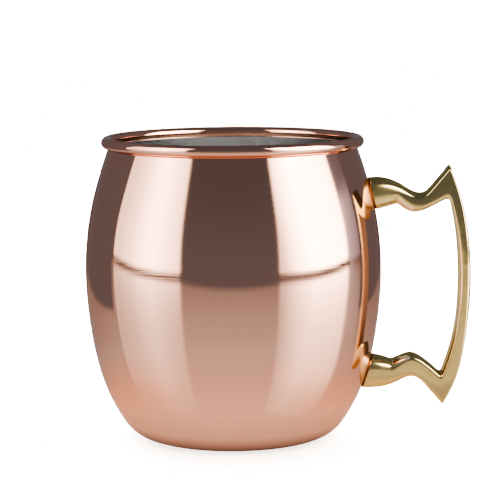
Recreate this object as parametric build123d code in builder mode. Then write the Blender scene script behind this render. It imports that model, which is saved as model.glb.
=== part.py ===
from build123d import *
import math
import os

# A barrel-shaped copper drinking mug with a cast brass handle, in millimetres.
# The frame: +Z up, origin at the centre of the foot ring's resting plane, handle along +X.
# Each profile is drawn in the XZ plane, where sketch X is the radius and sketch Y is the height.

# ---- driving dimensions: barrel -------------------------------------------------------
BELLY_R = 46.0  # widest outer radius
BELLY_Z = 53.0  # height of the widest ring
NECK_R = 38.4  # outer radius where the rolled rim meets the wall
NECK_Z = 90.6
NECK_SLOPE = -0.361  # change of radius with height at the neck
CORNER_R = 12.0  # rounding between the base and the wall
CORNER_CENTRE_R = 24.5
CORNER_END_DEG = -35.0  # where the corner arc hands over to the wall's curve
FOOT_RING_INNER_R = 21.5
DISH_R = 20.0  # raised centre of the underside
DISH_DEPTH = 0.6
CUT_TOP_Z = 100.0  # any height above the mug, for outlines that only cut

# ---- driving dimensions: sheet metal --------------------------------------------------
COPPER_T = 0.6
STEEL_T = 0.3
LINER_GAP = 0.02  # between the two pressed shells
SHEET_STACK_T = COPPER_T + LINER_GAP + STEEL_T
LINER_TOP_Z = 90.85
SHELL_TOP_Z = 91.2

# ---- driving dimensions: rolled rim ---------------------------------------------------
ROLL_R = 1.7
ROLL_CENTRE_R = 38.9
ROLL_CENTRE_Z = 92.2
ROLL_GAP = 0.15  # between the curled sheet's end and the wall

# ---- driving dimensions: handle -------------------------------------------------------
FOOT_HALF_WIDTH = 6.2  # the feet are wider than the arms and the grip
BAR_HALF_WIDTH = 4.7
TAPER_START_X = 41.5
TAPER_END_X = 53.5
HANDLE_EDGE_R = 1.4
HANDLE_SEAT_GAP = 0.05  # between the handle's feet and the barrel
FOOT_INSIDE_R = 38.0  # the outline starts inside the barrel and is trimmed by it
UPPER_FOOT_Z = (69.4, 80.2)
LOWER_FOOT_Z = (15.1, 25.4)
THUMB_TIP = (67.1, 84.6)
THUMB_VALLEY = (58.2, 75.85)
UPPER_NOTCH = (50.8, 72.65)
UPPER_CORNER = (67.0, 74.9)  # inner corner of the grip, before rounding
UPPER_CORNER_ROUNDING = 2.2
LOWER_TIP = (65.2, 9.5)
LOWER_NOTCH = (49.2, 23.5)
LOWER_CORNER = (64.7, 19.1)
LOWER_CORNER_ROUNDING = 0.8

# ---- driving dimensions: fixings ------------------------------------------------------
UPPER_SCREW_Z = 75.6  # where each screw's axis leaves the outer wall
LOWER_SCREW_Z = 20.4
SCREW_R = 2.0
SCREW_ENGAGEMENT = 5.5
SCREW_POINT_CHAMFER = 0.4
THREAD_GAP = 0.02
TAP_EXTRA_DEPTH = 0.8
WALL_HOLE_R = 2.15
HEAD_R = 4.0
HEAD_HEIGHT = 2.2
HEAD_DOME_R = 1.9
SLOT_WIDTH = 1.0
SLOT_DEPTH = 0.9
SEAL_R = 4.7
SEAL_T = 1.0
SEAL_GAP = 0.02
UNDER_SEAL = SHEET_STACK_T + SEAL_GAP  # depths from the outer wall, towards the cup's axis
UNDER_HEAD = UNDER_SEAL + SEAL_T


# ---- the wall's outer curve, which every shell and cut follows ------------------------
corner_end = math.radians(CORNER_END_DEG)
with BuildLine() as wall_line:
    wall = Spline(
        (
            CORNER_CENTRE_R + CORNER_R * math.cos(corner_end),
            CORNER_R + CORNER_R * math.sin(corner_end),
        ),
        (40.1, 16.0),
        (44.7, 35.0),
        (BELLY_R, BELLY_Z),
        (44.0, 72.0),
        (NECK_R, NECK_Z),
        tangents=((-math.sin(corner_end), math.cos(corner_end)), (NECK_SLOPE, 1)),
    )


def barrel_outline(top_z, inset=0.0, spans=8):
    """Draws the barrel's closed half-profile in the open BuildLine, moved inwards by inset."""
    wall_points = []
    for step in range(spans + 1):
        along = wall % (step / spans)
        wall_points.append(wall @ (step / spans) + inset * Vector(-along.Y, along.X))
    neck = wall_points[-1]
    Polyline(
        (0, DISH_DEPTH + inset),
        (DISH_R, DISH_DEPTH + inset),
        (FOOT_RING_INNER_R, inset),
        (CORNER_CENTRE_R, inset),
    )
    CenterArc((CORNER_CENTRE_R, CORNER_R), CORNER_R - inset, -90, 90 + CORNER_END_DEG)
    Spline(*wall_points, tangents=(wall % 0, wall % 1))
    Polyline(neck, (neck.X, top_z), (0, top_z), (0, DISH_DEPTH + inset))


def screw_plane(height, tolerance=1e-9):
    """Returns a handle screw's plane: origin on the outer wall, Z square into the cup, X level."""
    low, high = 0.0, 1.0
    while high - low > tolerance:
        middle = (low + high) / 2
        if (wall @ middle).Y < height:
            low = middle
        else:
            high = middle
    along = wall % low
    return Plane(origin=((wall @ low).X, 0, height), x_dir=(0, 1, 0), z_dir=(-along.Y, 0, along.X))


upper_plane = screw_plane(UPPER_SCREW_Z)
lower_plane = screw_plane(LOWER_SCREW_Z)


def cut_wall_holes():
    """Drills the open shell for both handle screws."""
    with Locations(upper_plane, lower_plane):
        Cylinder(WALL_HOLE_R, 4 * SHEET_STACK_T, mode=Mode.SUBTRACT)


# ---- barrel volumes that only cut other pieces ----------------------------------------
with BuildPart() as seat_cutter:
    with BuildSketch(Plane.XZ):
        with BuildLine():
            barrel_outline(CUT_TOP_Z, -HANDLE_SEAT_GAP)
        make_face()
    revolve(axis=Axis.Z)

with BuildPart() as cavity:
    with BuildSketch(Plane.XZ):
        with BuildLine():
            barrel_outline(CUT_TOP_Z, UNDER_SEAL)
        make_face()
    revolve(axis=Axis.Z)

# ---- copper shell: one sheet, from the foot ring to the curled end of the rim ---------
with BuildPart() as copper_shell:
    with BuildSketch(Plane.XZ):
        with BuildLine():
            barrel_outline(SHELL_TOP_Z)
        make_face()
        with BuildLine():
            barrel_outline(CUT_TOP_Z, COPPER_T)
        make_face(mode=Mode.SUBTRACT)
        with Locations((ROLL_CENTRE_R, ROLL_CENTRE_Z)):
            Circle(ROLL_R)
            Circle(ROLL_R - COPPER_T, mode=Mode.SUBTRACT)
        with Locations((NECK_R, ROLL_CENTRE_Z - ROLL_R)):
            Rectangle(ROLL_GAP, ROLL_R, align=(Align.MIN, Align.CENTER), mode=Mode.SUBTRACT)
    revolve(axis=Axis.Z)
    cut_wall_holes()

# ---- steel liner: a thin cup pressed into the shell, its edge tucked under the rim ----
with BuildPart() as steel_liner:
    with BuildSketch(Plane.XZ):
        with BuildLine():
            barrel_outline(LINER_TOP_Z, COPPER_T + LINER_GAP)
        make_face()
        with BuildLine():
            barrel_outline(CUT_TOP_Z, SHEET_STACK_T)
        make_face(mode=Mode.SUBTRACT)
    revolve(axis=Axis.Z)
    cut_wall_holes()

# ---- handle: one brass casting, drawn from the side and tapped for its two screws ------
with BuildPart() as handle:
    with BuildSketch(Plane.XZ):
        with BuildLine():
            # upper arm's top, from the foot to the valley and up the thumb rest
            Spline(
                (FOOT_INSIDE_R, UPPER_FOOT_Z[1]),
                (44.2, 80.85),
                (51.7, 78.95),
                THUMB_VALLEY,
                tangents=((1, 0.1), (1, 0)),
            )
            Spline(THUMB_VALLEY, (61.9, 78.45), THUMB_TIP, tangents=((1, 0), (0.65, 0.76)))
            # outside of the grip
            Spline(
                THUMB_TIP,
                (70.5, 75.1),
                (73.2, 60.7),
                (73.75, 50.0),
                (72.2, 30.4),
                (68.8, 16.4),
                LOWER_TIP,
            )
            # lower arm's underside, back to the foot
            Spline(
                LOWER_TIP,
                (60.4, 15.1),
                (55.7, 18.6),
                (51.0, 16.85),
                (45.3, 15.2),
                (FOOT_INSIDE_R, LOWER_FOOT_Z[0]),
            )
            Line((FOOT_INSIDE_R, LOWER_FOOT_Z[0]), (FOOT_INSIDE_R, LOWER_FOOT_Z[1]))
            # lower arm's top
            Spline((FOOT_INSIDE_R, LOWER_FOOT_Z[1]), (44.4, 24.9), LOWER_NOTCH)
            Spline(LOWER_NOTCH, (51.0, 24.2), (55.2, 25.45), (59.5, 23.5), LOWER_CORNER)
            # inside of the grip
            Spline(
                LOWER_CORNER,
                (67.3, 26.6),
                (69.5, 38.0),
                (70.0, 51.5),
                (69.05, 64.5),
                UPPER_CORNER,
            )
            # upper arm's underside, back to the foot
            Spline(UPPER_CORNER, (59.2, 70.8), (55.6, 70.1), UPPER_NOTCH)
            Spline(UPPER_NOTCH, (45.2, 71.1), (FOOT_INSIDE_R, UPPER_FOOT_Z[0]))
            Line((FOOT_INSIDE_R, UPPER_FOOT_Z[0]), (FOOT_INSIDE_R, UPPER_FOOT_Z[1]))
        make_face()
        fillet(vertices().sort_by_distance(Vector(*UPPER_CORNER))[0], UPPER_CORNER_ROUNDING)
        fillet(vertices().sort_by_distance(Vector(*LOWER_CORNER))[0], LOWER_CORNER_ROUNDING)
    extrude(amount=FOOT_HALF_WIDTH, both=True)
    with BuildSketch(Plane.XY):
        with BuildLine():
            # one side seen from above: the feet narrow smoothly into the arms
            Polyline((0, 0), (0, FOOT_HALF_WIDTH), (TAPER_START_X, FOOT_HALF_WIDTH))
            Spline(
                (TAPER_START_X, FOOT_HALF_WIDTH),
                (TAPER_END_X, BAR_HALF_WIDTH),
                tangents=((1, 0), (1, 0)),
            )
            Polyline((TAPER_END_X, BAR_HALF_WIDTH), (CUT_TOP_Z, BAR_HALF_WIDTH), (CUT_TOP_Z, 0))
            mirror(about=Plane.XZ)
        make_face()
    extrude(amount=CUT_TOP_Z, mode=Mode.INTERSECT)
    # the outline's edges on both sides, without the upright seams between the side faces
    outline_edges = edges().filter_by(Axis.Z, reverse=True)
    side_edges = outline_edges.filter_by(lambda edge: abs(edge.center().Y) > BAR_HALF_WIDTH / 2)
    fillet(side_edges, HANDLE_EDGE_R)
    add(seat_cutter.part, mode=Mode.SUBTRACT)
    with Locations(upper_plane, lower_plane):
        Cylinder(
            SCREW_R + THREAD_GAP,
            2 * (SCREW_ENGAGEMENT + TAP_EXTRA_DEPTH),
            mode=Mode.SUBTRACT,
        )


# ---- fixings: a dome-head screw from inside the cup, and a soft seal under its head ----
def build_seal_washer(plane):
    """Returns the builder of a flat washer whose outer face has moulded itself to the liner."""
    with BuildPart() as seal_washer:
        with BuildSketch(plane.offset(UNDER_HEAD)):
            Circle(SEAL_R)
            Circle(WALL_HOLE_R, mode=Mode.SUBTRACT)
        extrude(amount=-UNDER_HEAD)
        add(cavity.part, mode=Mode.INTERSECT)
    return seal_washer


def build_handle_screw(plane):
    """Returns the builder of a slotted dome-head screw, its head against the seal washer."""
    into_cup = Axis(plane.origin, plane.z_dir)
    with BuildPart() as handle_screw:
        with BuildSketch(plane.offset(UNDER_HEAD)):
            Circle(HEAD_R)
        extrude(amount=HEAD_HEIGHT)
        fillet(edges().sort_by(into_cup)[-1], HEAD_DOME_R)
        with BuildSketch(plane.offset(UNDER_HEAD + HEAD_HEIGHT)):
            Rectangle(3 * HEAD_R, SLOT_WIDTH)
        extrude(amount=-SLOT_DEPTH, mode=Mode.SUBTRACT)
        with BuildSketch(plane.offset(UNDER_HEAD)):
            Circle(SCREW_R)
        extrude(amount=-UNDER_HEAD - SCREW_ENGAGEMENT)
        chamfer(edges().sort_by(into_cup)[0], SCREW_POINT_CHAMFER)
    return handle_screw


# ---- one labelled STEP per piece -------------------------------------------------------
pieces = {
    "copper_shell": copper_shell,
    "steel_liner": steel_liner,
    "handle": handle,
    "upper_seal_washer": build_seal_washer(upper_plane),
    "lower_seal_washer": build_seal_washer(lower_plane),
    "upper_handle_screw": build_handle_screw(upper_plane),
    "lower_handle_screw": build_handle_screw(lower_plane),
}
os.makedirs("parts", exist_ok=True)
for name, piece in pieces.items():
    piece.part.label = name
    export_step(piece.part, f"parts/{name}.step")
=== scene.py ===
import math

import bmesh
import bpy
import numpy as np
from mathutils import Matrix, Vector


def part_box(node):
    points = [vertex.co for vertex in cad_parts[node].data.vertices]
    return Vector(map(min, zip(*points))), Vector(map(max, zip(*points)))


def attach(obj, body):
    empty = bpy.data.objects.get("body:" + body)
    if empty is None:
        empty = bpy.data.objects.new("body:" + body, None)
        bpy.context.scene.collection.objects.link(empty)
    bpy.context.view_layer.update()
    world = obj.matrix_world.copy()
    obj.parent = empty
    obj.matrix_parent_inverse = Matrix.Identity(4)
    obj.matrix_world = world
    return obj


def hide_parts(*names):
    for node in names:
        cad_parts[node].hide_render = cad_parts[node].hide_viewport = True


# A polished copper mug with a cast brass handle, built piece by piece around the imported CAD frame.
# Outlines are written in design millimetres. MM turns them into the frame's metres.

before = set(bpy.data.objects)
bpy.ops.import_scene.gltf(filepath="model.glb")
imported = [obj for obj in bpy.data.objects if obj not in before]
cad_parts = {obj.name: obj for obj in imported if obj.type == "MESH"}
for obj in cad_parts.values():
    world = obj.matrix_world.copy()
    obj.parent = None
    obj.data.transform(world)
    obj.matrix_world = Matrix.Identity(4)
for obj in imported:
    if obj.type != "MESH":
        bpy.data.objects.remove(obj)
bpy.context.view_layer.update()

DESIGN_HEIGHT = 93.9  # design millimetres from the foot ring to the top of the rim
shell_low, shell_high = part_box("copper_shell")
MM = (shell_high.z - shell_low.z) / DESIGN_HEIGHT

# ---- barrel -----------------------------------------------------------------------------
BELLY_R = 46.0
NECK = (38.4, 90.6)
NECK_DIRECTION = (-0.361, 1.0)
CORNER_R = 12.0
CORNER_CENTRE = (24.5, 12.0)
CORNER_END_DEG = -35.0
DISH_R = 20.0
DISH_DEPTH = 0.6
FOOT_RING_R = 21.5
COPPER_T = 0.6
STEEL_T = 0.3
LINER_GAP = 0.02
LINER_TOP_Z = 90.85
LINER_EDGE_CROWN = 1.05  # how much higher the middle of the liner's edge stands
ROLL_CENTRE = (38.9, 92.2)
ROLL_R = 1.7
ROLL_START_DEG = 200.0  # where the sheet leaves the wall for the roll
ROLL_END_DEG = -102.0  # where the curled edge stops, just clear of the wall
BASE_EASE = 0.5  # how far the corners of the base's step are eased
SPIN_STEPS = 256

# ---- handle -----------------------------------------------------------------------------
FOOT_HALF_WIDTH = 6.2
BAR_HALF_WIDTH = 4.7
TAPER_X = (41.5, 53.5)  # where the feet narrow to the bar
FOOT_EDGE_R = 0.6
TIP_EASE = 0.45  # how far each corner of the side view is eased
NOTCH_EASE = 0.35
UPPER_CORNER_EASE = 2.6
LOWER_CORNER_EASE = 1.0
JOINT_SHADE_WIDTH = 0.45  # the painted shade line where the feet meet the barrel, and also its fade
JOINT_SHADE_END = 1.5  # in widths of the line, how far from the barrel it has faded out
HANDLE_SEAT_GAP = 0.05
FOOT_INSIDE_R = 38.0
UPPER_FOOT_Z = (69.4, 80.2)
LOWER_FOOT_Z = (15.1, 25.4)
THUMB_TIP = (67.1, 84.6)
THUMB_VALLEY = (58.2, 75.85)
UPPER_NOTCH = (50.8, 72.65)
UPPER_CORNER = (67.0, 74.9)
GRIP_OUTSIDE = (73.75, 50.0)
LOWER_TIP = (65.2, 9.5)
LOWER_DIP = (55.7, 18.6)
LOWER_CREST = (55.2, 25.45)
LOWER_NOTCH = (49.2, 23.5)
LOWER_CORNER = (64.7, 19.1)
BOSS_ROUNDING = 4.5  # section corner radius at the feet
BAR_ROUNDING = 1.3  # section corner radius on the arms and the grip
BAR_STRETCH = 1.7  # how much deeper those corners are across the handle
ROUNDING_LIMIT = 0.98  # the most of a section's half that its corners may take
RING_SPACING = 0.6
SEAT_SEARCH_STEPS = 400
SETTLE_STEPS = 20  # enough rounds for a point to settle on a curved wall

# ---- fixings ----------------------------------------------------------------------------
SCREW_HEIGHTS = {"upper": 75.6, "lower": 20.4}
SCREW_R = 2.0
SCREW_CHAMFER = 0.4
SCREW_LENGTH = 5.5
TAP_DEPTH = 6.3
TAP_POINT = 1.0  # depth of the tapped hole's pointed end
HOLE_R = 2.15
HOLE_REACH = 3.0  # how far the hole's cutter goes to each side of the outer wall
HEAD_R = 4.0
HEAD_HEIGHT = 2.2
HEAD_RIM = 0.35  # height of the head's upright rim
HEAD_CHAMFER = 0.1
SLOT_WIDTH = 1.0
SLOT_DEPTH = 0.9
SEAL_R = 4.7
SEAL_T = 1.0
SEAL_EDGE = 0.25
FIT_GAP = 0.02


# ==== curves in the plane ====================================================================
def spline(points, step=0.5, start=None, end=None):
    """Points about step apart on a cubic spline through points, with optional end directions."""
    points = np.array(points, float)
    last = len(points) - 1
    gaps = np.linalg.norm(np.diff(points, axis=0), axis=1)[:, None]
    slopes = np.diff(points, axis=0) / gaps
    system = np.zeros((last + 1, last + 1))
    wanted = np.zeros((last + 1, 2))
    for i in range(1, last):
        system[i, i - 1 : i + 2] = gaps[i, 0], 2 * (gaps[i - 1, 0] + gaps[i, 0]), gaps[i - 1, 0]
        wanted[i] = 3 * (gaps[i] * slopes[i - 1] + gaps[i - 1] * slopes[i])
    ends = ((0, 1, start, slopes[0]), (last, last - 1, end, slopes[-1]))
    for row, neighbour, direction, slope in ends:
        if direction is None:
            system[row, row], system[row, neighbour] = 2, 1
            wanted[row] = 3 * slope
        else:
            system[row, row] = 1
            wanted[row] = np.array(direction) / np.linalg.norm(direction)
    tangents = np.linalg.solve(system, wanted)
    curve = [points[:1]]
    for i in range(last):
        t = np.linspace(0, 1, max(2, math.ceil(gaps[i, 0] / step)) + 1)[1:, None]
        curve.append(
            (2 * t**3 - 3 * t**2 + 1) * points[i]
            + (t**3 - 2 * t**2 + t) * gaps[i] * tangents[i]
            + (3 * t**2 - 2 * t**3) * points[i + 1]
            + (t**3 - t**2) * gaps[i] * tangents[i + 1]
        )
    return np.concatenate(curve)


def arc(centre, radius, start_deg, end_deg, steps):
    """Points on an arc, in steps equal parts."""
    angles = np.radians(np.linspace(start_deg, end_deg, steps + 1))
    return np.array(centre) + radius * np.stack([np.cos(angles), np.sin(angles)], axis=1)


def join_rounded(first, second, reach, steps=6):
    """Joins two curves that meet at a corner, easing the corner over reach on each side."""
    corner = first[-1]
    kept_first = first[np.linalg.norm(first - corner, axis=1) > reach]
    kept_second = second[np.linalg.norm(second - corner, axis=1) > reach]
    start = corner + reach * (kept_first[-1] - corner) / np.linalg.norm(kept_first[-1] - corner)
    end = corner + reach * (kept_second[0] - corner) / np.linalg.norm(kept_second[0] - corner)
    t = np.linspace(0, 1, steps + 1)[:, None]
    ease = (1 - t) ** 2 * start + 2 * t * (1 - t) * corner + t**2 * end
    return np.concatenate([kept_first, ease, kept_second])


def resample(curve, count):
    """Returns count + 1 points evenly spaced along a curve."""
    along = np.concatenate([[0], np.cumsum(np.linalg.norm(np.diff(curve, axis=0), axis=1))])
    wanted = np.linspace(0, along[-1], count + 1)
    return np.stack([np.interp(wanted, along, curve[:, k]) for k in range(curve.shape[1])], axis=1)


def split_at(curve, corners):
    """Cuts a curve into stretches at the places nearest to corners, which are given in order."""
    cuts = [int(np.argmin(np.linalg.norm(curve - np.array(corner), axis=1))) for corner in corners]
    return [curve[a : b + 1] for a, b in zip(cuts, cuts[1:])]


# ==== the barrel's outline ===================================================================
corner_end = math.radians(CORNER_END_DEG)
WALL = spline(
    [
        CORNER_CENTRE + CORNER_R * np.array((math.cos(corner_end), math.sin(corner_end))),
        (40.1, 16.0),
        (44.7, 35.0),
        (BELLY_R, 53.0),
        (44.0, 72.0),
        NECK,
    ],
    step=0.8,
    start=(-math.sin(corner_end), math.cos(corner_end)),
    end=NECK_DIRECTION,
)


def wall_at_inset(inset):
    """The wall's outer curve moved square to itself towards the cup's axis."""
    along = np.gradient(WALL, axis=0)
    along /= np.linalg.norm(along, axis=1)[:, None]
    return WALL + inset * np.stack([-along[:, 1], along[:, 0]], axis=1)


def barrel_outline(inset):
    """Half-profile from the axis out along the base, round the corner and up to the neck."""
    base_z = DISH_DEPTH + inset
    dish = np.array([(0, base_z), (DISH_R / 3, base_z), (2 * DISH_R / 3, base_z), (DISH_R, base_z)])
    step_out = np.array([(DISH_R, base_z), (FOOT_RING_R, inset)])
    ring = np.array([(FOOT_RING_R, inset), (CORNER_CENTRE[0], inset)])
    base = join_rounded(join_rounded(dish, step_out, BASE_EASE), ring, BASE_EASE)
    corner = arc(CORNER_CENTRE, CORNER_R - inset, -90, CORNER_END_DEG, steps=24)
    return np.concatenate([base, corner[1:], wall_at_inset(inset)[1:]])


def barrel_radius(z, inset=0.0):
    """Radius of the wall at height z, for a surface at that inset."""
    outline = barrel_outline(inset)
    wall = outline[outline[:, 0] > CORNER_CENTRE[0]]
    return np.interp(z, wall[:, 1], wall[:, 0])


def screw_frame(height):
    """Origin on the outer wall, and the unit direction of a handle screw square into the cup."""
    index = int(np.searchsorted(WALL[:, 1], height))
    along = WALL[index] - WALL[index - 1]
    along /= np.linalg.norm(along)
    origin = np.array((barrel_radius(height), 0.0, height))
    return origin, np.array((-along[1], 0.0, along[0]))


# ==== meshes =================================================================================
SHARP_DEG = 35.0  # edges that bend more than this are shaded sharp
SCREW_SHARP_DEG = 30.0
MERGE_DISTANCE = 0.0005


def make_piece(name, vertices, faces, sharp_deg=SHARP_DEG):
    """Makes a mesh object from design-millimetre vertices, smooth except over sharp_deg."""
    mesh = bpy.data.meshes.new(name)
    mesh.from_pydata([tuple(np.array(v) * MM) for v in vertices], [], faces)
    mesh.validate()
    return finish_mesh(name, mesh, sharp_deg)


def finish_mesh(name, mesh, sharp_deg):
    """Merges doubled vertices, turns the faces outwards and makes the object."""
    tidy = bmesh.new()
    tidy.from_mesh(mesh)
    bmesh.ops.remove_doubles(tidy, verts=tidy.verts, dist=MERGE_DISTANCE * MM)
    bmesh.ops.recalc_face_normals(tidy, faces=tidy.faces)
    tidy.to_mesh(mesh)
    tidy.free()
    mesh.polygons.foreach_set("use_smooth", [True] * len(mesh.polygons))
    mesh.set_sharp_from_angle(angle=math.radians(sharp_deg))
    piece = bpy.data.objects.new(name, mesh)
    bpy.context.scene.collection.objects.link(piece)
    return piece


def band(low, high, around, flip=False):
    """Quads between two closed rings of vertices, which start at low and at high."""
    faces = []
    for i in range(around):
        j = (i + 1) % around
        face = (low + i, low + j, high + j, high + i)
        faces.append(face[::-1] if flip else face)
    return faces


def fan(ring, tip, around, flip=False):
    """Triangles from a closed ring of vertices to the vertex at its tip."""
    faces = []
    for i in range(around):
        face = (ring + i, ring + (i + 1) % around, tip)
        faces.append(face[::-1] if flip else face)
    return faces


def bands(starts, around, flip=False):
    """Quads between the closed rings of vertices that start at each of starts."""
    return [face for low, high in zip(starts, starts[1:]) for face in band(low, high, around, flip)]


def revolve(name, profile, steps=SPIN_STEPS, frame_at=None):
    """Spins a (radius, height) profile whose two ends lie on the axis, then moves it by frame_at."""
    angles = np.linspace(0, 2 * math.pi, steps, endpoint=False)
    inner = profile[1:-1]
    vertices = [(0.0, 0.0, profile[0][1]), (0.0, 0.0, profile[-1][1])]
    for radius, height in inner:
        vertices += [(radius * math.cos(a), radius * math.sin(a), height) for a in angles]
    starts = [2 + steps * ring for ring in range(len(inner))]
    faces = bands(starts, steps) + fan(starts[0], 0, steps, flip=True) + fan(starts[-1], 1, steps)
    if frame_at is not None:
        vertices = [frame_at(v) for v in vertices]
    return make_piece(name, vertices, faces)


def cut_away(piece, cutter, sharp_deg=SHARP_DEG):
    """Cuts cutter's volume out of piece for good, and deletes the cutter."""
    change = piece.modifiers.new("cut", "BOOLEAN")
    change.operation = "DIFFERENCE"
    change.solver = "EXACT"
    change.object = cutter
    bpy.context.view_layer.update()
    evaluated = piece.evaluated_get(bpy.context.evaluated_depsgraph_get())
    mesh = bpy.data.meshes.new_from_object(evaluated)
    name = piece.name
    bpy.data.objects.remove(cutter)
    bpy.data.objects.remove(piece)
    mesh.name = name
    return finish_mesh(name, mesh, sharp_deg)


def along_screw(height):
    """Returns a function from (x, y, depth) about a screw's axis to the mug's own millimetres."""
    origin, inwards = screw_frame(height)
    level = np.array((0.0, 1.0, 0.0))
    upright = np.cross(inwards, level)

    def place(point):
        return tuple(origin + point[0] * level + point[1] * upright + point[2] * inwards)

    return place


def cut_screw_holes(piece):
    """Cuts both screw holes through a shell."""
    ends = ((0, -HOLE_REACH), (HOLE_R, -HOLE_REACH), (HOLE_R, HOLE_REACH), (0, HOLE_REACH))
    for height in SCREW_HEIGHTS.values():
        cutter = revolve("cutter", np.array(ends), steps=48, frame_at=along_screw(height))
        piece = cut_away(piece, cutter)
    return piece


# ==== copper shell: one spun sheet, from the base to the curled end of the rim ===============
def build_copper_shell():
    outside = barrel_outline(0.0)
    inside = barrel_outline(COPPER_T)
    roll_inside = arc(ROLL_CENTRE, ROLL_R - COPPER_T, ROLL_START_DEG, ROLL_END_DEG, steps=40)
    roll_outside = arc(ROLL_CENTRE, ROLL_R, ROLL_END_DEG, ROLL_START_DEG, steps=56)
    edge_middle = (roll_inside[-1] + roll_outside[0]) / 2
    profile = np.concatenate([outside, roll_inside, [edge_middle], roll_outside, inside[::-1]])
    return cut_screw_holes(revolve("copper_shell_spun", profile))


# ==== steel liner: a pressed cup whose top edge is tucked under the roll =====================
def build_steel_liner():
    outside = barrel_outline(COPPER_T + LINER_GAP)
    inside = barrel_outline(COPPER_T + LINER_GAP + STEEL_T)
    neck_out, neck_in = outside[-1], inside[-1]
    lift = np.array(NECK_DIRECTION) * (LINER_TOP_Z - neck_out[1])
    edge_middle = (neck_out + neck_in) / 2 + LINER_EDGE_CROWN * lift
    edge = [neck_out + lift, edge_middle, neck_in + lift]
    profile = np.concatenate([outside, edge, inside[::-1]])
    return cut_screw_holes(revolve("steel_liner_pressed", profile))


# ==== handle: one brass casting ==============================================================
def handle_outlines():
    """The side view's two edges, from the upper foot round to the lower foot."""
    arm_top = spline(
        [(FOOT_INSIDE_R, UPPER_FOOT_Z[1]), (44.2, 80.85), (51.7, 78.95), THUMB_VALLEY],
        start=(1, 0.1),
        end=(1, 0),
    )
    thumb_rise = spline([THUMB_VALLEY, (61.9, 78.45), THUMB_TIP], start=(1, 0), end=(0.65, 0.76))
    grip_outside = spline(
        [THUMB_TIP, (70.5, 75.1), (73.2, 60.7), GRIP_OUTSIDE, (72.2, 30.4), (68.8, 16.4), LOWER_TIP]
    )
    lower_foot = (FOOT_INSIDE_R, LOWER_FOOT_Z[0])
    arm_bottom = spline([LOWER_TIP, (60.4, 15.1), LOWER_DIP, (51.0, 16.85), (45.3, 15.2), lower_foot])
    outer = join_rounded(np.concatenate([arm_top, thumb_rise[1:]]), grip_outside, TIP_EASE)
    outer = join_rounded(outer, arm_bottom, TIP_EASE)

    boss_under = spline([(FOOT_INSIDE_R, UPPER_FOOT_Z[0]), (45.2, 71.1), UPPER_NOTCH])
    arm_under = spline([UPPER_NOTCH, (55.6, 70.1), (59.2, 70.8), UPPER_CORNER])
    grip_inside = spline(
        [UPPER_CORNER, (69.05, 64.5), (70.0, 51.5), (69.5, 38.0), (67.3, 26.6), LOWER_CORNER]
    )
    arm_over = spline([LOWER_CORNER, (59.5, 23.5), LOWER_CREST, (51.0, 24.2), LOWER_NOTCH])
    boss_over = spline([LOWER_NOTCH, (44.4, 24.9), (FOOT_INSIDE_R, LOWER_FOOT_Z[1])])
    inner = join_rounded(boss_under, arm_under, NOTCH_EASE)
    inner = join_rounded(inner, grip_inside, UPPER_CORNER_EASE)
    inner = join_rounded(inner, arm_over, LOWER_CORNER_EASE)
    inner = join_rounded(inner, boss_over, NOTCH_EASE)
    return outer, inner


def handle_section(half_long, half_wide, rounding, stretch, crown=0.03, per_corner=9, per_side=7):
    """A closed loop of (along, across) points: a faintly crowned rectangle with elliptical corners."""
    long_r = min(rounding, ROUNDING_LIMIT * half_long)
    wide_r = min(rounding * stretch, ROUNDING_LIMIT * half_wide)
    flat_long, flat_wide = half_long - long_r, half_wide - wide_r
    loop = []
    for quarter in range(4):
        turn = math.radians(90 * quarter)
        centre_long = flat_long * (1 if quarter in (0, 3) else -1)
        centre_wide = flat_wide * (1 if quarter in (0, 1) else -1)
        for step in range(per_corner):
            angle = turn + math.radians(90) * step / (per_corner - 1)
            along, across = long_r * math.cos(angle), wide_r * math.sin(angle)
            loop.append((centre_long + along, centre_wide + across))
        next_turn = turn + math.radians(90)
        normal = np.array((math.cos(next_turn), math.sin(next_turn)))
        start = np.array(loop[-1])
        length = 2 * (flat_long if quarter in (0, 2) else flat_wide)
        direction = np.array((-normal[1], normal[0]))
        for step in range(1, per_side + 1):
            t = step / (per_side + 1)
            loop.append(tuple(start + direction * length * t + normal * crown * 4 * t * (1 - t)))
    return np.array(loop)


def half_width(x):
    """The casting is widest at its feet and narrows smoothly to the bar."""
    t = np.clip((x - TAPER_X[0]) / (TAPER_X[1] - TAPER_X[0]), 0, 1)
    return FOOT_HALF_WIDTH + (BAR_HALF_WIDTH - FOOT_HALF_WIDTH) * t * t * (3 - 2 * t)


def handle_stations(outer, inner):
    """Facing places on the two edges, with the section's corner radius and stretch at each."""
    return [
        (outer[0], inner[0], BOSS_ROUNDING, 1.0),
        ((50.9, 79.2), UPPER_NOTCH, 3.2, 1.2),
        (THUMB_VALLEY, (56.4, 70.1), 1.8, 1.4),
        (THUMB_TIP, (66.2, 73.9), BAR_ROUNDING, BAR_STRETCH),
        (GRIP_OUTSIDE, (70.0, 50.0), BAR_ROUNDING, BAR_STRETCH),
        (LOWER_TIP, LOWER_CORNER, BAR_ROUNDING, BAR_STRETCH),
        (LOWER_DIP, LOWER_CREST, BAR_ROUNDING, 1.6),
        ((49.6, 16.4), LOWER_NOTCH, 2.6, 1.2),
        (outer[-1], inner[-1], BOSS_ROUNDING, 1.0),
    ]


def curve_length(curve):
    return np.linalg.norm(np.diff(curve, axis=0), axis=1).sum()


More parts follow.
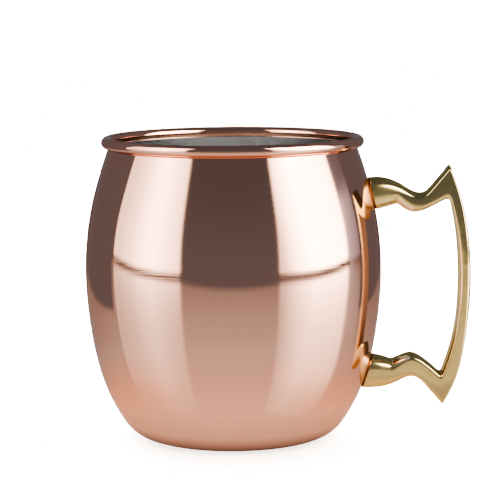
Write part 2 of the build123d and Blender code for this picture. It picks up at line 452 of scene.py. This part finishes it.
def handle_rings():
    """The casting's sections, about RING_SPACING apart from the upper foot to the lower foot."""
    outer, inner = handle_outlines()
    outer_places, inner_places, roundings, stretches = zip(*handle_stations(outer, inner))
    parts = zip(split_at(outer, outer_places), split_at(inner, inner_places))
    rings = []
    for number, (outer_part, inner_part) in enumerate(parts):
        count = math.ceil(max(curve_length(outer_part), curve_length(inner_part)) / RING_SPACING)
        outer_points, inner_points = resample(outer_part, count), resample(inner_part, count)
        first = 0 if number == 0 else 1
        for step in range(first, count + 1):
            t = step / count
            rounding = roundings[number] * (1 - t) + roundings[number + 1] * t
            stretch = stretches[number] * (1 - t) + stretches[number + 1] * t
            middle = (outer_points[step] + inner_points[step]) / 2
            reach = (outer_points[step] - inner_points[step]) / 2
            half_long = np.linalg.norm(reach)
            section = handle_section(half_long, half_width(middle[0]), rounding, stretch)
            along = middle + np.outer(section[:, 0], reach / half_long)
            rings.append(np.stack([along[:, 0], section[:, 1], along[:, 1]], axis=1))
    return np.array(rings)


def build_handle():
    rings = seat_end(handle_rings())
    rings = seat_end(rings[::-1])[::-1]
    around = rings.shape[1]
    vertices = [tuple(v) for ring in rings for v in ring]
    starts = [around * ring for ring in range(len(rings))]
    faces = bands(starts, around)
    add_foot(vertices, faces, rings[0], starts[0], SCREW_HEIGHTS["upper"], flip=True)
    add_foot(vertices, faces, rings[-1], starts[-1], SCREW_HEIGHTS["lower"], flip=False)
    handle = make_piece("brass_handle_cast", vertices, faces)
    mark_joint(handle.data)
    return handle


def mark_joint(mesh):
    """Stores how near each vertex is to the barrel, for the painted shade line in the crease where the
    feet meet it.
    """
    places = np.array([vertex.co for vertex in mesh.vertices]) / MM
    nearness = np.clip(JOINT_SHADE_END - outside_barrel(places) / JOINT_SHADE_WIDTH, 0, 1)
    joint_shade = mesh.attributes.new("joint_shade", "FLOAT", "POINT")
    joint_shade.data.foreach_set("value", nearness.astype(np.float32))


def outside_barrel(points):
    """How far points lie outside the feet's seat, which is a small gap off the wall, on the level."""
    return np.hypot(points[..., 0], points[..., 1]) - barrel_radius(points[..., 2]) - HANDLE_SEAT_GAP


def seat_end(rings, blend_rings=14, edge_steps=5):
    """Ends the foot in a saddle that fits the barrel, with a small rounded edge all round."""
    lines = rings[: blend_rings + 1].transpose(1, 0, 2)
    seat = []
    for number, line in enumerate(lines):
        dense = resample(line, SEAT_SEARCH_STEPS)
        seat.append(dense[np.argmax(outside_barrel(dense) > 0)])
        lines[number] = resample(dense[np.argmax(outside_barrel(dense) > FOOT_EDGE_R) :], blend_rings)
    rings[: blend_rings + 1] = lines.transpose(1, 0, 2)
    seat = np.array(seat)
    away = rings[0] - seat
    inwards = seat.mean(axis=0) - seat
    inwards *= FOOT_EDGE_R / np.linalg.norm(inwards, axis=1)[:, None]
    turns = np.radians(np.linspace(0, 90, edge_steps, endpoint=False))
    edge = [seat + (1 - math.sin(turn)) * inwards + (1 - math.cos(turn)) * away for turn in turns]
    return np.concatenate([edge, rings])


def add_foot(vertices, faces, boundary, boundary_start, screw_height, flip, steps=6):
    """Closes a foot with a face that follows the barrel, round a blind tapped hole."""
    around = len(boundary)
    place = along_screw(screw_height)
    origin, inwards = screw_frame(screw_height)
    offsets = boundary - origin
    level = offsets @ np.array((0.0, 1.0, 0.0))
    upright = offsets @ np.cross(inwards, (0.0, 1.0, 0.0))
    reach = np.hypot(level, upright)
    hole_r = SCREW_R + FIT_GAP
    hole_level, hole_upright = hole_r * level / reach, hole_r * upright / reach
    start = len(vertices)
    for step in range(1, steps + 1):
        t = step / steps
        for x, y in zip(level * (1 - t) + hole_level * t, upright * (1 - t) + hole_upright * t):
            point = np.array(place((x, y, 0.0)))
            point -= inwards * outside_gap_along(point, inwards)
            vertices.append(tuple(point))
    vertices += [place((x, y, -TAP_DEPTH)) for x, y in zip(hole_level, hole_upright)]
    tip = len(vertices)
    vertices.append(place((0.0, 0.0, -TAP_DEPTH - TAP_POINT)))
    starts = [boundary_start] + [start + k * around for k in range(steps + 1)]
    faces += bands(starts, around, flip) + fan(starts[-1], tip, around, flip)


def outside_gap_along(point, inwards):
    """How far along the screw's direction point has to move out to reach the foot's seat."""
    moved = 0.0
    for _ in range(SETTLE_STEPS):
        moved -= float(outside_barrel(point - inwards * moved))
    return moved


# ==== fixings ================================================================================
def build_screw(which, height):
    place = along_screw(height)
    under_head = COPPER_T + LINER_GAP + STEEL_T + FIT_GAP + SEAL_T
    dome = [
        (HEAD_R * math.cos(a), under_head + HEAD_RIM + (HEAD_HEIGHT - HEAD_RIM) * math.sin(a))
        for a in np.radians(np.linspace(0, 90, 20))
    ]
    shank = SCREW_R - FIT_GAP
    profile = [
        (0, -SCREW_LENGTH),
        (shank - SCREW_CHAMFER, -SCREW_LENGTH),
        (shank, SCREW_CHAMFER - SCREW_LENGTH),
        (shank, under_head),
        (HEAD_R - HEAD_CHAMFER, under_head),
        (HEAD_R, under_head + HEAD_CHAMFER),
    ] + dome
    screw = revolve(f"{which}_screw_turned", np.array(profile), steps=64, frame_at=place)
    return cut_away(screw, slot_cutter(place, under_head + HEAD_HEIGHT), SCREW_SHARP_DEG)


def slot_cutter(place, top):
    """A bar across the top of a screw's head."""
    corners = [
        place((x, y, z))
        for x in (-2 * HEAD_R, 2 * HEAD_R)
        for y in (-SLOT_WIDTH / 2, SLOT_WIDTH / 2)
        for z in (top - SLOT_DEPTH, top + SLOT_DEPTH)
    ]
    faces = [(0, 1, 3, 2), (4, 6, 7, 5), (0, 4, 5, 1), (2, 3, 7, 6), (0, 2, 6, 4), (1, 5, 7, 3)]
    return make_piece("slot", corners, faces, SCREW_SHARP_DEG)


def build_seal(which, height, around=64):
    """A soft washer whose wall side has moulded itself to the liner."""
    place = along_screw(height)
    wall_inset = COPPER_T + LINER_GAP + STEEL_T + FIT_GAP
    top = wall_inset + SEAL_T
    section = [
        (HOLE_R, 0.0),
        (SEAL_R - SEAL_EDGE, 0.0),
        (SEAL_R, SEAL_EDGE),
        (SEAL_R, SEAL_T - SEAL_EDGE),
        (SEAL_R - SEAL_EDGE, SEAL_T),
        (HOLE_R, SEAL_T),
    ]
    vertices = []
    _, inwards = screw_frame(height)
    for radius, rise in section:
        for angle in np.linspace(0, 2 * math.pi, around, endpoint=False):
            x, y = radius * math.cos(angle), radius * math.sin(angle)
            depth = wall_inset
            for _ in range(SETTLE_STEPS):
                point = np.array(place((x, y, depth)))
                depth += math.hypot(point[0], point[1]) - barrel_radius(point[2], wall_inset)
            share = rise / SEAL_T
            vertices.append(place((x, y, depth * (1 - share) + top * share)))
    starts = [around * ring for ring in range(len(section))]
    return make_piece(f"{which}_seal_moulded", vertices, bands(starts + starts[:1], around))


# ==== materials ==============================================================================
WHITE = (1.0, 1.0, 1.0, 1.0)
COPPER = (0.95, 0.535, 0.392, 1.0)
COPPER_TARNISHED = (0.93, 0.50, 0.35, 1.0)
COPPER_EDGE = (0.98, 0.84, 0.78, 1.0)
BRASS = (0.79, 0.61, 0.29, 1.0)
BRASS_TARNISHED = (0.71, 0.52, 0.23, 1.0)
BRASS_EDGE = (0.95, 0.8, 0.5, 1.0)
# Painted reflection: the brass's colour wherever it is not seen straight from the camera, which
# darkens its mirror image in the copper.
BRASS_PAINTED_FOR_REFLECTIONS = (0.56, 0.48, 0.28, 1.0)
# Painted shade: close to the barrel the brass is darkened to this colour, for the shaded crease where
# the feet meet the wall.
JOINT_PAINTED_SHADE = (0.16, 0.07, 0.03, 1.0)
LINER_DARK = (0.60, 0.60, 0.59, 1.0)
LINER_LIGHT = (0.76, 0.755, 0.745, 1.0)
SCREW_DARK = (0.62, 0.62, 0.62, 1.0)
SCREW_LIGHT = (0.78, 0.78, 0.77, 1.0)
SEAL_DARK = (0.62, 0.61, 0.58, 1.0)
SEAL_LIGHT = (0.74, 0.73, 0.70, 1.0)


class Nodes:
    """A short way to add and wire shader nodes."""

    def __init__(self, tree):
        self.tree = tree
        tree.nodes.clear()

    def add(self, kind, settings=None, **inputs):
        node = self.tree.nodes.new(kind)
        for key, value in (settings or {}).items():
            setattr(node, key, value)
        for key, value in inputs.items():
            self.set(node, key.replace("_", " "), value)
        return node

    def set(self, node, socket, value):
        target = node.inputs[int(socket)] if socket.isdigit() else node.inputs[socket]
        if isinstance(value, bpy.types.NodeSocket):
            self.tree.links.new(value, target)
        else:
            target.default_value = value

    def math(self, operation, first, second=0.0):
        node = self.add("ShaderNodeMath", {"operation": operation})
        self.set(node, "0", first)
        self.set(node, "1", second)
        return node.outputs[0]

    def remap(self, value, low, high, new_low, new_high):
        node = self.add("ShaderNodeMapRange")
        for index, item in enumerate((value, low, high, new_low, new_high)):
            self.set(node, str(index), item)
        return node.outputs[0]

    def split(self, vector):
        return self.add("ShaderNodeSeparateXYZ", Vector=vector).outputs

    def here(self):
        """The place on the piece, in the frame's metres."""
        return self.add("ShaderNodeTexCoord").outputs["Object"]

    def profile(self, value, stops):
        """Straight slopes through (place, level) stops."""
        level = stops[0][1]
        for (start, low), (end, high) in zip(stops, stops[1:]):
            level = self.math("ADD", level, self.remap(value, start, end, 0.0, high - low))
        return level

    def mix_colour(self, factor, first, second):
        node = self.add("ShaderNodeMix", {"data_type": "RGBA"})
        self.set(node, "0", factor)
        self.set(node, "6", first)
        self.set(node, "7", second)
        return node.outputs[2]

    def finish(self, shader, output_kind="ShaderNodeOutputMaterial"):
        self.tree.links.new(shader.outputs[0], self.add(output_kind).inputs[0])

    def mix_shader(self, factor, first, second):
        node = self.add("ShaderNodeMixShader")
        self.set(node, "0", factor)
        self.set(node, "1", first.outputs[0])
        self.set(node, "2", second.outputs[0])
        return node

    def noise(self, vector, scale, detail=2.0, roughness=0.5):
        settings = {"Vector": vector, "Scale": scale, "Detail": detail, "Roughness": roughness}
        return self.add("ShaderNodeTexNoise", **settings).outputs["Fac"]


def new_material(name):
    material = bpy.data.materials.new(name)
    material.use_nodes = True
    return material, Nodes(material.node_tree)


def spun_coordinates(nodes, around, upright):
    """Coordinates that stretch a noise into rings about the mug's axis, with no seam."""
    here = nodes.split(nodes.here())
    flat = nodes.add("ShaderNodeCombineXYZ", X=here["X"], Y=here["Y"], Z=0.0)
    unit = nodes.add("ShaderNodeVectorMath", {"operation": "NORMALIZE"})
    nodes.set(unit, "0", flat.outputs[0])
    turn = nodes.split(unit.outputs[0])
    return nodes.add(
        "ShaderNodeCombineXYZ",
        X=nodes.math("MULTIPLY", turn["X"], around),
        Y=nodes.math("MULTIPLY", turn["Y"], around),
        Z=nodes.math("MULTIPLY", here["Z"], upright / MM),
    ).outputs[0]


def metal(nodes, colour, roughness, bump_height, bump_distance, edge_tint=WHITE):
    """A polished or brushed metal, with bumps bump_distance millimetres high."""
    bump = nodes.add("ShaderNodeBump", Strength=1.0, Distance=bump_distance * MM, Height=bump_height)
    shader = nodes.add(
        "ShaderNodeBsdfPrincipled",
        Base_Color=colour,
        Metallic=1.0,
        Roughness=roughness,
        Specular_Tint=edge_tint,
        Normal=bump.outputs[0],
    )
    nodes.finish(shader)
    return shader


def copper_material():
    material, nodes = new_material("polished_copper")
    rings = nodes.noise(spun_coordinates(nodes, 0.9, 9.0), 1.0, detail=3.0, roughness=0.6)
    haze = nodes.noise(nodes.here(), 22.0, detail=4.0, roughness=0.55)
    tarnish = nodes.noise(nodes.here(), 9.0, detail=3.0)
    tarnished = nodes.remap(tarnish, 0.35, 0.75, 0.0, 0.35)
    colour = nodes.mix_colour(tarnished, COPPER, COPPER_TARNISHED)
    roughness = nodes.remap(haze, 0.1, 0.9, 0.03, 0.075)
    metal(nodes, colour, roughness, rings, 0.004, COPPER_EDGE)
    return material


def brass_material():
    """Cast brass, duller towards its feet, with painted shade where the feet meet the barrel, and
    hazier and painted a darker, less yellow colour where it is seen in the copper.
    """
    material, nodes = new_material("cast_brass")
    place = nodes.here()
    undulation = nodes.noise(place, 0.16 / MM, detail=2.0)
    grain = nodes.noise(place, 1.6 / MM, detail=3.0)
    height = nodes.math("ADD", undulation, nodes.math("MULTIPLY", grain, 0.06))
    patina = nodes.noise(place, 0.35 / MM, detail=4.0, roughness=0.6)
    colour = nodes.mix_colour(nodes.remap(patina, 0.4, 0.75, 0.0, 0.6), BRASS, BRASS_TARNISHED)
    # Painted shade: the brass darkens towards the barrel, standing in for the shadow in the crease
    # where the feet meet it.
    joint_shade = nodes.add("ShaderNodeAttribute", {"attribute_name": "joint_shade"}).outputs["Fac"]
    colour = nodes.mix_colour(joint_shade, colour, JOINT_PAINTED_SHADE)
    # Painted reflection: the brass takes a darker, less yellow colour in every reflection, and keeps
    # its own colour only straight to the camera.
    seen_directly = nodes.add("ShaderNodeLightPath").outputs["Is Camera Ray"]
    colour = nodes.mix_colour(seen_directly, BRASS_PAINTED_FOR_REFLECTIONS, colour)
    polish = nodes.remap(patina, 0.1, 0.9, 0.07, 0.15)
    reach = nodes.math("DIVIDE", nodes.split(place)["X"], MM)
    polish = nodes.math("ADD", polish, nodes.remap(reach, 44.0, 58.0, 0.08, 0.0))
    roughness = nodes.math("ADD", polish, nodes.remap(seen_directly, 0.0, 1.0, 0.22, 0.0))
    metal(nodes, colour, roughness, height, 0.05, BRASS_EDGE)
    return material


def steel_material():
    material, nodes = new_material("satin_steel")
    lines = nodes.noise(spun_coordinates(nodes, 1.5, 4.0), 1.0, detail=5.0, roughness=0.7)
    cloud = nodes.noise(nodes.here(), 30.0, detail=3.0)
    colour = nodes.mix_colour(lines, LINER_DARK, LINER_LIGHT)
    shader = metal(nodes, colour, nodes.remap(cloud, 0.1, 0.9, 0.24, 0.36), lines, 0.008)
    shader.inputs["Anisotropic"].default_value = 0.5
    return material


def screw_material():
    material, nodes = new_material("screw_steel")
    turned = nodes.noise(nodes.here(), 2.5 / MM, detail=3.0)
    colour = nodes.mix_colour(turned, SCREW_DARK, SCREW_LIGHT)
    metal(nodes, colour, nodes.remap(turned, 0.3, 0.7, 0.14, 0.26), turned, 0.01)
    return material


def seal_material():
    material, nodes = new_material("seal_rubber")
    grain = nodes.noise(nodes.here(), 3.0 / MM, detail=4.0)
    colour = nodes.mix_colour(grain, SEAL_DARK, SEAL_LIGHT)
    bump = nodes.add("ShaderNodeBump", Strength=0.6, Distance=0.02 * MM, Height=grain)
    shader = nodes.add(
        "ShaderNodeBsdfPrincipled",
        Base_Color=colour,
        Roughness=nodes.remap(grain, 0.3, 0.7, 0.45, 0.65),
        Normal=bump.outputs[0],
    )
    nodes.finish(shader)
    return material


# ==== studio =================================================================================
# Levels are the brightness that a surface shows. Stops are (place, level) pairs.
STUDIO_TURN_DEG = 1.0  # the studio's front is turned this far from -Y towards the handle
TABLE_FRONT_Y = -410.0  # its edge in front of the mug draws the line across the barrel
TABLE_REACH = 2600.0
TABLE_DROP = 0.02  # how far the table lies under the foot ring
# Painted light on the reflected table: TABLE_GLOW is a painted shadow close round the foot and painted
# light further out, and TABLE_FALLOFF dims it towards the back.
TABLE_GLOW = [(27, 0.12), (36, 0.7), (46, 0.84), (76, 0.74), (137, 0.6), (270, 0.54)]
TABLE_FALLOFF = [(-40, 1.0), (140, 0.68), (270, 0.5), (410, 0.3)]
TABLE_PAINTED_BOUNCE = (1.0, 0.86, 0.76, 1.0)  # painted warm light bounced off the copper, close in front of and behind the mug
TABLE_PAINTED_BOUNCE_SIDES = (1.15, 0.8, 0.6, 1.0)
TABLE_PALE = (1.0, 0.97, 0.95, 1.0)
FLOOR_PALE = (1.0, 0.89, 0.81, 1.0)
SOFTBOX_HEIGHT = 900.0
SOFTBOX_LEAN = 110.0
SOFTBOX_FRAME_LEVEL = 0.12
CARD_HEIGHT = 500.0
WALL_HEIGHT = 480.0
WALL_TINT = (0.88, 1.0, 1.25, 1.0)
DARK_TINT = (0.95, 1.08, 1.3, 1.0)
DARK_LEVEL = 0.17  # how bright the unlit studio looks to the metal
WHITE_LEVEL = 8.0  # the background that the camera sees

studio_things = []


def add_to_studio(name, data):
    """Adds an object that isn't part of the mug."""
    thing = bpy.data.objects.new(name, data)
    bpy.context.scene.collection.objects.link(thing)
    studio_things.append(thing)
    return thing


def turn_studio():
    """Turns the camera, the lamps and the stage together about the mug's axis."""
    bpy.context.view_layer.update()
    turn = Matrix.Rotation(math.radians(STUDIO_TURN_DEG), 4, "Z")
    for thing in studio_things:
        thing.matrix_world = turn @ thing.matrix_world


def emission_material(name, colour_and_level):
    """A glowing surface, whose colour and level come from a function of its nodes."""
    material, nodes = new_material(name)
    colour, level = colour_and_level(nodes)
    nodes.finish(nodes.add("ShaderNodeEmission", Color=colour, Strength=level))
    return material


def softbox_material(name, levels, slant=0.0, far_fade=0.015):
    """A panel with a dark frame, lit by stops along its width that lean by slant with height."""

    def light(nodes):
        panel = nodes.split(nodes.add("ShaderNodeUVMap").outputs[0])
        across, up = panel["X"], panel["Y"]
        level = nodes.profile(nodes.math("ADD", across, nodes.math("MULTIPLY", up, slant)), levels)
        sides = nodes.profile(across, [(0.0, 0.0), (0.03, 1.0), (1.0 - far_fade, 1.0), (1.0, 0.0)])
        bottom = nodes.profile(up, [(0.018, 0.0), (0.024, 1.0)])
        level = nodes.math("MULTIPLY", nodes.math("MULTIPLY", level, sides), bottom)
        return WHITE, nodes.math("ADD", level, SOFTBOX_FRAME_LEVEL)

    return emission_material(name, light)


def wall_material():
    """A grey wall that gets darker away from the softbox and at its top."""

    def light(nodes):
        panel = nodes.split(nodes.add("ShaderNodeUVMap").outputs[0])
        level = nodes.profile(panel["X"], [(0.0, 1.1), (0.35, 0.5), (1.0, 0.2)])
        fade = nodes.profile(panel["Y"], [(0.6, 1.0), (0.75, 0.25), (1.0, 0.1)])
        return WALL_TINT, nodes.math("ADD", nodes.math("MULTIPLY", level, fade), DARK_LEVEL)

    return emission_material("grey_wall", light)


def stage_panel(name, start, end, high, material, far_lean=0.0):
    """An upright panel over the floor line from start to end, seen only in reflections."""
    start, end = np.array(start), np.array(end)
    top_end = end + (start - end) / np.linalg.norm(start - end) * far_lean
    corners = [(*start, 0.0), (*end, 0.0), (*top_end, high), (*start, high)]
    mesh = bpy.data.meshes.new(name)
    mesh.from_pydata([tuple(np.array(c) * MM) for c in corners], [], [(0, 1, 2, 3)])
    mesh.uv_layers.new(name="panel")
    for loop, uv in zip(mesh.uv_layers[0].data, ((0, 0), (1, 0), (1, 1), (0, 1))):
        loop.uv = uv
    mesh.materials.append(material)
    panel = add_to_studio(name, mesh)
    panel.visible_camera = False
    panel.visible_diffuse = False
    panel.visible_shadow = False


def floor_material():
    """The pale floor the camera sees, with a faint mirror image."""
    material, nodes = new_material("pale_floor")
    pale = nodes.add("ShaderNodeBsdfDiffuse", Color=FLOOR_PALE)
    mirror = nodes.add("ShaderNodeBsdfGlossy", Color=WHITE, Roughness=0.04)
    nodes.finish(nodes.mix_shader(0.3, pale, mirror))
    return material


def table_material():
    """The glossy white table the metal reflects, whose light is a painted glow: a painted shadow close
    round the foot, and painted warm light bounced off the copper close to it.
    """
    material, nodes = new_material("glossy_table")
    here = nodes.split(nodes.here())
    length = nodes.add("ShaderNodeVectorMath", {"operation": "LENGTH"})
    nodes.set(length, "0", nodes.here())
    distance = nodes.math("DIVIDE", length.outputs["Value"], MM)
    behind = nodes.math("DIVIDE", here["Y"], MM)
    aside = nodes.math("DIVIDE", nodes.math("ABSOLUTE", here["X"]), MM)
    # Painted light: the glow follows distance from the mug, dark close round the foot as a painted
    # shadow, and fades towards the back.
    falloff = nodes.profile(behind, TABLE_FALLOFF)
    level = nodes.math("MULTIPLY", nodes.profile(distance, TABLE_GLOW), falloff)
    # Painted warm light bounced off the copper, close to the mug.
    warm = nodes.mix_colour(nodes.remap(aside, 25.0, 60.0, 0.0, 1.0), TABLE_PAINTED_BOUNCE, TABLE_PAINTED_BOUNCE_SIDES)
    away = nodes.remap(distance, 50.0, 110.0, 0.0, 1.0)
    colour = nodes.mix_colour(away, warm, TABLE_PALE)
    glow = nodes.add("ShaderNodeEmission", Color=colour, Strength=level)
    polish = nodes.add("ShaderNodeBsdfGlossy", Color=WHITE, Roughness=0.03)
    fresnel = nodes.add("ShaderNodeFresnel", IOR=1.7)
    clear = nodes.math("MULTIPLY", fresnel.outputs[0], nodes.remap(distance, 40.0, 75.0, 0.0, 1.0))
    clear = nodes.math("MULTIPLY", clear, nodes.remap(behind, 100.0, 250.0, 1.0, 0.0))
    nodes.finish(nodes.mix_shader(clear, glow, polish))
    return material


def build_floor(name, front_y, material, seen_by_camera):
    """A level sheet under the mug, for the camera alone or for reflections alone."""
    mesh = bpy.data.meshes.new(name)
    corners = [
        (-TABLE_REACH, front_y),
        (TABLE_REACH, front_y),
        (TABLE_REACH, TABLE_REACH),
        (-TABLE_REACH, TABLE_REACH),
    ]
    mesh.from_pydata([(x * MM, y * MM, 0.0) for x, y in corners], [], [(0, 1, 2, 3)])
    mesh.materials.append(material)
    floor = add_to_studio(name, mesh)
    floor.location.z = shell_low.z - TABLE_DROP * MM
    floor.visible_camera = seen_by_camera
    floor.visible_shadow = seen_by_camera
    floor.visible_diffuse = seen_by_camera
    floor.visible_glossy = not seen_by_camera
    return floor


def build_world():
    """White to the camera, and a dark studio to the metal."""
    world = bpy.data.worlds.new("studio")
    bpy.context.scene.world = world
    world.use_nodes = True
    nodes = Nodes(world.node_tree)
    direction = nodes.split(nodes.add("ShaderNodeTexCoord").outputs["Generated"])
    level = nodes.remap(direction["Z"], 0.0, 0.7, DARK_LEVEL, 0.7 * DARK_LEVEL)
    dark = nodes.add("ShaderNodeBackground", Color=DARK_TINT, Strength=level)
    white = nodes.add("ShaderNodeBackground", Color=WHITE, Strength=WHITE_LEVEL)
    both = nodes.mix_shader(nodes.add("ShaderNodeLightPath").outputs["Is Camera Ray"], dark, white)
    nodes.finish(both, "ShaderNodeOutputWorld")


def add_lamp(name, kind, energy, receivers, place=(0, 0, 0), turn_deg=(0, 0), colour=WHITE):
    """A soft lamp that lights only the given objects, turned about X then Y from facing down."""
    lamp = bpy.data.lights.new(name, kind)
    lamp.energy = energy
    lamp.color = colour[:3]
    holder = add_to_studio(name, lamp)
    holder.location = Vector(place) * MM
    holder.rotation_euler = (math.radians(turn_deg[0]), math.radians(turn_deg[1]), 0.0)
    holder.visible_camera = False
    lit = bpy.data.collections.new(name + "_lit")
    for thing in receivers:
        lit.objects.link(thing)
    holder.light_linking.receiver_collection = lit
    return holder


def add_panel_lamp(name, level, receivers, place, size, turn_deg=(0, 0), colour=WHITE):
    """A flat lamp as bright as level on its face."""
    width, depth = size[0] * MM, size[1] * MM
    lamp = add_lamp(name, "AREA", level * math.pi * width * depth, receivers, place, turn_deg, colour)
    lamp.data.shape = "RECTANGLE"
    lamp.data.size, lamp.data.size_y = width, depth


def light_floor(floor):
    """A shadowless sky, and a back light whose mirror image whitens the floor round the mug's."""
    sky = add_lamp("sky_lamp", "SUN", energy=25.0, receivers=[floor])
    sky.data.angle = math.radians(120)
    sky.light_linking.blocker_collection = sky.light_linking.receiver_collection
    add_panel_lamp(
        "back_lamp",
        level=40.0,
        receivers=[floor],
        place=(0, 900, 300),
        size=(3000, 1400),
        turn_deg=(-90, 0),
    )


def light_pieces(inside, handle):
    """Lamps for what the studio's reflections miss: the cup's inside, and the brass."""
    add_panel_lamp("inside_lamp", level=2.55, receivers=inside, place=(0, 0, 500), size=(500, 500))
    add_panel_lamp(
        "near_table_lamp",
        level=0.31,
        receivers=[handle],
        place=(90, -235, 1),
        size=(600, 310),
        turn_deg=(180, 0),
        colour=(1.0, 0.84, 0.6, 1.0),
    )
    add_panel_lamp(
        "far_table_lamp",
        level=0.22,
        receivers=[handle],
        place=(90, 350, 1),
        size=(600, 500),
        turn_deg=(180, 0),
    )
    add_panel_lamp(
        "body_lamp",
        level=0.36,
        receivers=[handle],
        place=(48, 0, 51),
        size=(38, 80),
        turn_deg=(0, -90),
        colour=(0.8, 0.95, 1.5, 1.0),
    )


def build_camera():
    """The camera stands in front, a little above, and the mug sits low and left in its frame."""
    distance, height_looked_at = 652.6, 45.3
    elevation, roll = math.radians(8.575), math.radians(0.42)
    data = bpy.data.cameras.new("camera")
    camera = add_to_studio("camera", data)
    bpy.context.scene.camera = camera
    data.sensor_width = 36.0
    data.lens = 150.4
    data.shift_x = 0.0329
    data.shift_y = 0.0823
    target = Vector((0.0, 0.0, height_looked_at)) * MM
    back = Vector((0.0, -math.cos(elevation), math.sin(elevation)))
    turn = (-back).to_track_quat("-Z", "Y").to_matrix().to_4x4() @ Matrix.Rotation(-roll, 4, "Z")
    camera.matrix_world = Matrix.Translation(target + back * distance * MM) @ turn


# ==== build everything =======================================================================
def put_in_place(piece, node, material):
    """Gives a piece its material, ties it to the body, and hides the CAD node it stands for."""
    piece.data.materials.clear()
    piece.data.materials.append(material)
    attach(piece, "root")
    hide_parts(node)
    return piece


copper, steel, brass = copper_material(), steel_material(), brass_material()
turned_steel, rubber = screw_material(), seal_material()
put_in_place(build_copper_shell(), "copper_shell", copper)
liner = put_in_place(build_steel_liner(), "steel_liner", steel)
handle = put_in_place(build_handle(), "handle", brass)
inside = [liner]
for which, height in SCREW_HEIGHTS.items():
    screw = build_screw(which, height)
    inside.append(put_in_place(screw, f"{which}_handle_screw", turned_steel))
    seal = build_seal(which, height)
    inside.append(put_in_place(seal, f"{which}_seal_washer", rubber))

floor = build_floor("pale_floor", -TABLE_REACH, floor_material(), seen_by_camera=True)
build_floor("glossy_table", TABLE_FRONT_Y, table_material(), seen_by_camera=False)
build_world()
left_stops = [(0.03, 2.0), (0.1, 2.5), (0.2, 3.4), (0.3, 4.0), (0.55, 2.0), (0.8, 1.35)]
right_stops = [(0.07, 1.3), (0.12, 2.0), (0.23, 4.2), (0.4, 7.5), (0.8, 6.0), (1.0, 4.5)]
left_light = softbox_material("left_softbox", left_stops)
right_light = softbox_material("right_softbox", right_stops, slant=0.2, far_fade=0.09)
dark = emission_material("black_card", lambda nodes: (DARK_TINT, DARK_LEVEL))
stage_panel("left_softbox", (-451, -569), (-1250, 308), SOFTBOX_HEIGHT, left_light, SOFTBOX_LEAN)
stage_panel("right_softbox", (388, -595), (1000, 160), SOFTBOX_HEIGHT, right_light, SOFTBOX_LEAN)
stage_panel("right_wall", (1040, 90), (1040, 465), WALL_HEIGHT, wall_material())
stage_panel("left_card", (-205, 27), (-205, 355), CARD_HEIGHT, dark)
stage_panel("right_card", (200, 50), (200, 355), CARD_HEIGHT, dark)
light_floor(floor)
light_pieces(inside, handle)
build_camera()
turn_studio()

view = bpy.context.scene.view_settings
view.view_transform = "AgX"
view.look = "AgX - High Contrast"
